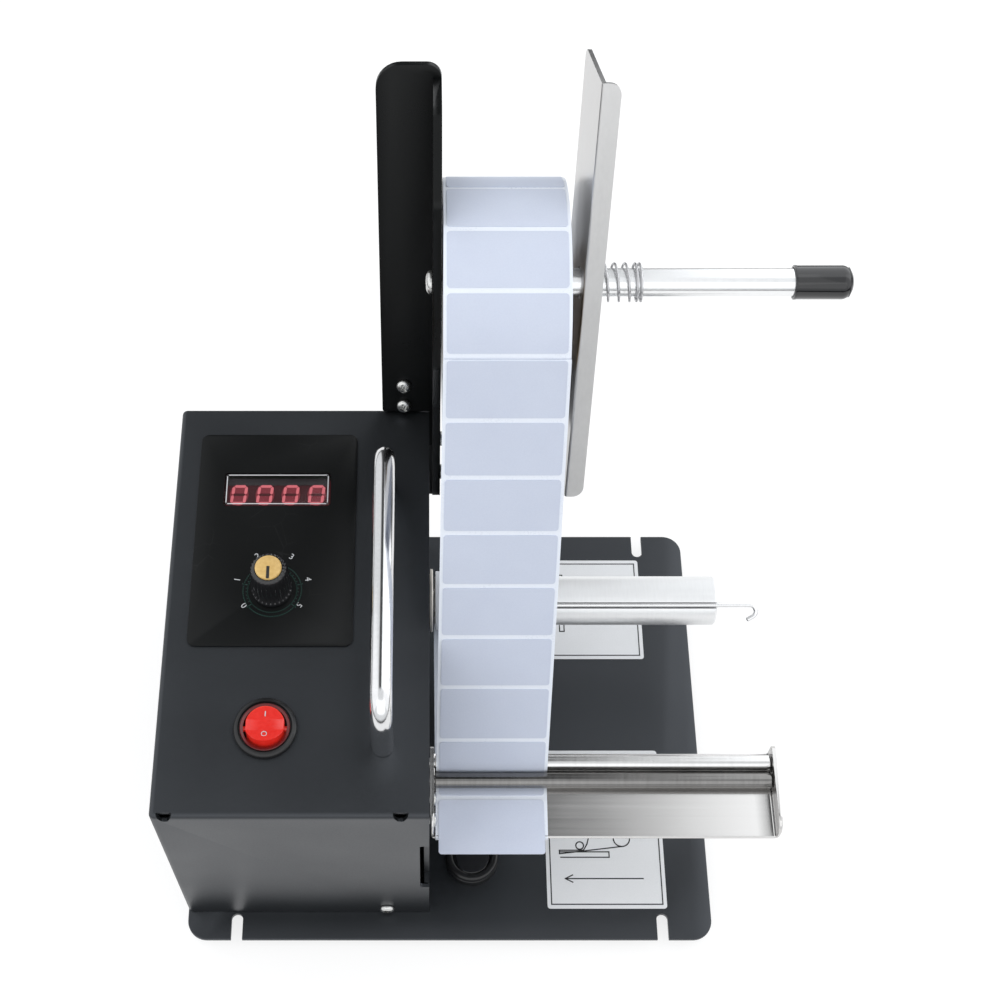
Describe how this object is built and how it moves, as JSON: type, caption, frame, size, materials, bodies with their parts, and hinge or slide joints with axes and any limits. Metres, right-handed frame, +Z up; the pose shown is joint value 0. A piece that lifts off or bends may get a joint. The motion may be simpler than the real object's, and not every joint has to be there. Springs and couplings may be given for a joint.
{
  "type": "label dispenser machine",
  "caption": "Desktop label dispenser: black housing with display, dial and rocker, roll on a leaning arm, angled baffle, peel platform and driven take-up shaft for the liner.",
  "frame": {"origin": "on the floor under the centre of the whole machine's bounding box", "axes": "+Z up, -Y to the operator, +X to the side where the labels run"},
  "size_m": [0.2466, 0.2358, 0.2825],
  "materials": {
    "black_paint": "semi-gloss powder paint",
    "satin_steel": "satin",
    "chrome": "polished",
    "zinc_steel": "zinc plated",
    "turned_aluminium": "fine turned",
    "rubber": "matte",
    "black_plastic": "satin",
    "gloss_black": "gloss",
    "red_lens": "clear red, gloss",
    "cream_plastic": "satin",
    "smoked_window": "smoked red, gloss",
    "label_paper": "semi-gloss film",
    "liner_paper": "silicone-coated, glossy",
    "card": "matte",
    "board": "solder mask",
    "bronze": "sintered, matte"
  },
  "bodies": {
    "root": {"arm_screw_lower": "zinc_steel", "arm_screw_upper": "zinc_steel", "arm_wall_screw_lower": "zinc_steel", "arm_wall_screw_upper": "zinc_steel", "baffle_spring": "chrome", "base_plate": "black_paint", "bearing_collar": "zinc_steel", "carry_handle": "chrome", "control_board": "board", "cover_screw": "zinc_steel", "dispensed_label": "label_paper", "display_module": "black_plastic", "display_window": "smoked_window", "drive_belt": "rubber", "foot_front_left": "rubber", "foot_front_right": "rubber", "foot_rear_left": "rubber", "foot_rear_right": "rubber", "gear_motor": "zinc_steel", "guide_rod": "chrome", "handle_screw_front": "zinc_steel", "handle_screw_rear": "zinc_steel", "housing_cover": "black_paint", "jack_nut": "zinc_steel", "label_sensor": "black_plastic", "label_web": "liner_paper", "motor_bracket": "zinc_steel", "overlay_panel": "gloss_black", "peel_platform": "satin_steel", "platform_screw_front": "zinc_steel", "platform_screw_rear": "zinc_steel", "pot_nut": "zinc_steel", "potentiometer": "zinc_steel", "power_jack": "black_plastic", "press_rod": "chrome", "reel_shaft": "chrome", "right_wall": "black_paint", "roll_arm": "black_paint", "sensor_lens": "gloss_black", "sensor_nut": "zinc_steel", "shaft_cap": "gloss_black", "shaft_screw": "zinc_steel", "switch_body": "black_plastic", "takeup_bearing": "bronze", "waste_liner": "liner_paper"},
    "label_roll": {"roll_core": "card", "label_roll": "liner_paper"},
    "takeup": {"takeup_shaft": "turned_aluminium", "takeup_pulley": "turned_aluminium", "wound_liner": "liner_paper"},
    "clip": {"liner_clip": "chrome"},
    "motor_rotor": {"motor_shaft": "zinc_steel", "motor_pulley": "turned_aluminium"},
    "spring_washer": {"baffle_washer": "zinc_steel"},
    "baffle": {"baffle_plate": "satin_steel"},
    "knob": {"knob": "black_plastic", "knob_cap": "cream_plastic", "pot_shaft": "zinc_steel"},
    "rocker": {"switch_rocker": "red_lens"}
  },
  "joints": [
    {"name": "roll_spin", "type": "hinge", "parent": "root", "child": "label_roll", "pos_m": [0.0008, 0.05854, 0.1971], "axis": [1, 0, 0], "continuous": true},
    {"name": "takeup_spin", "type": "hinge", "parent": "root", "child": "takeup", "pos_m": [-0.0253, 0.00745, 0.0633], "axis": [1, 0, 0], "continuous": true},
    {"name": "clip_slide", "type": "slide", "parent": "takeup", "child": "clip", "axis": [1, 0, 0], "range_m": [0, 0.11]},
    {"name": "motor_spin", "type": "hinge", "parent": "root", "child": "motor_rotor", "pos_m": [-0.0253, -0.04285, 0.0633], "axis": [1, 0, 0], "continuous": true},
    {"name": "baffle_slide", "type": "slide", "parent": "root", "child": "spring_washer", "axis": [1, 0, 0], "range_m": [0, 0.01], "stiffness_N_per_m": 200, "springref_m": -0.003, "deforming": ["baffle_spring"]},
    {"name": "baffle_swivel", "type": "hinge", "parent": "spring_washer", "child": "baffle", "pos_m": [0.0264, 0.05854, 0.2118], "axis": [1, 0, 0], "continuous": true},
    {"name": "knob_turn", "type": "hinge", "parent": "root", "child": "knob", "pos_m": [-0.0839, -0.01866, 0.1251], "axis": [0, 0, 1], "range_deg": [-300, 0]},
    {"name": "rocker_tip", "type": "hinge", "parent": "root", "child": "rocker", "pos_m": [-0.0839, -0.07365, 0.1243], "axis": [1, 0, 0], "range_deg": [0, 18]}
  ],
  "couplings": [
    {"joint": "motor_spin", "follows": "takeup_spin", "ratio": 1.5}
  ]
}
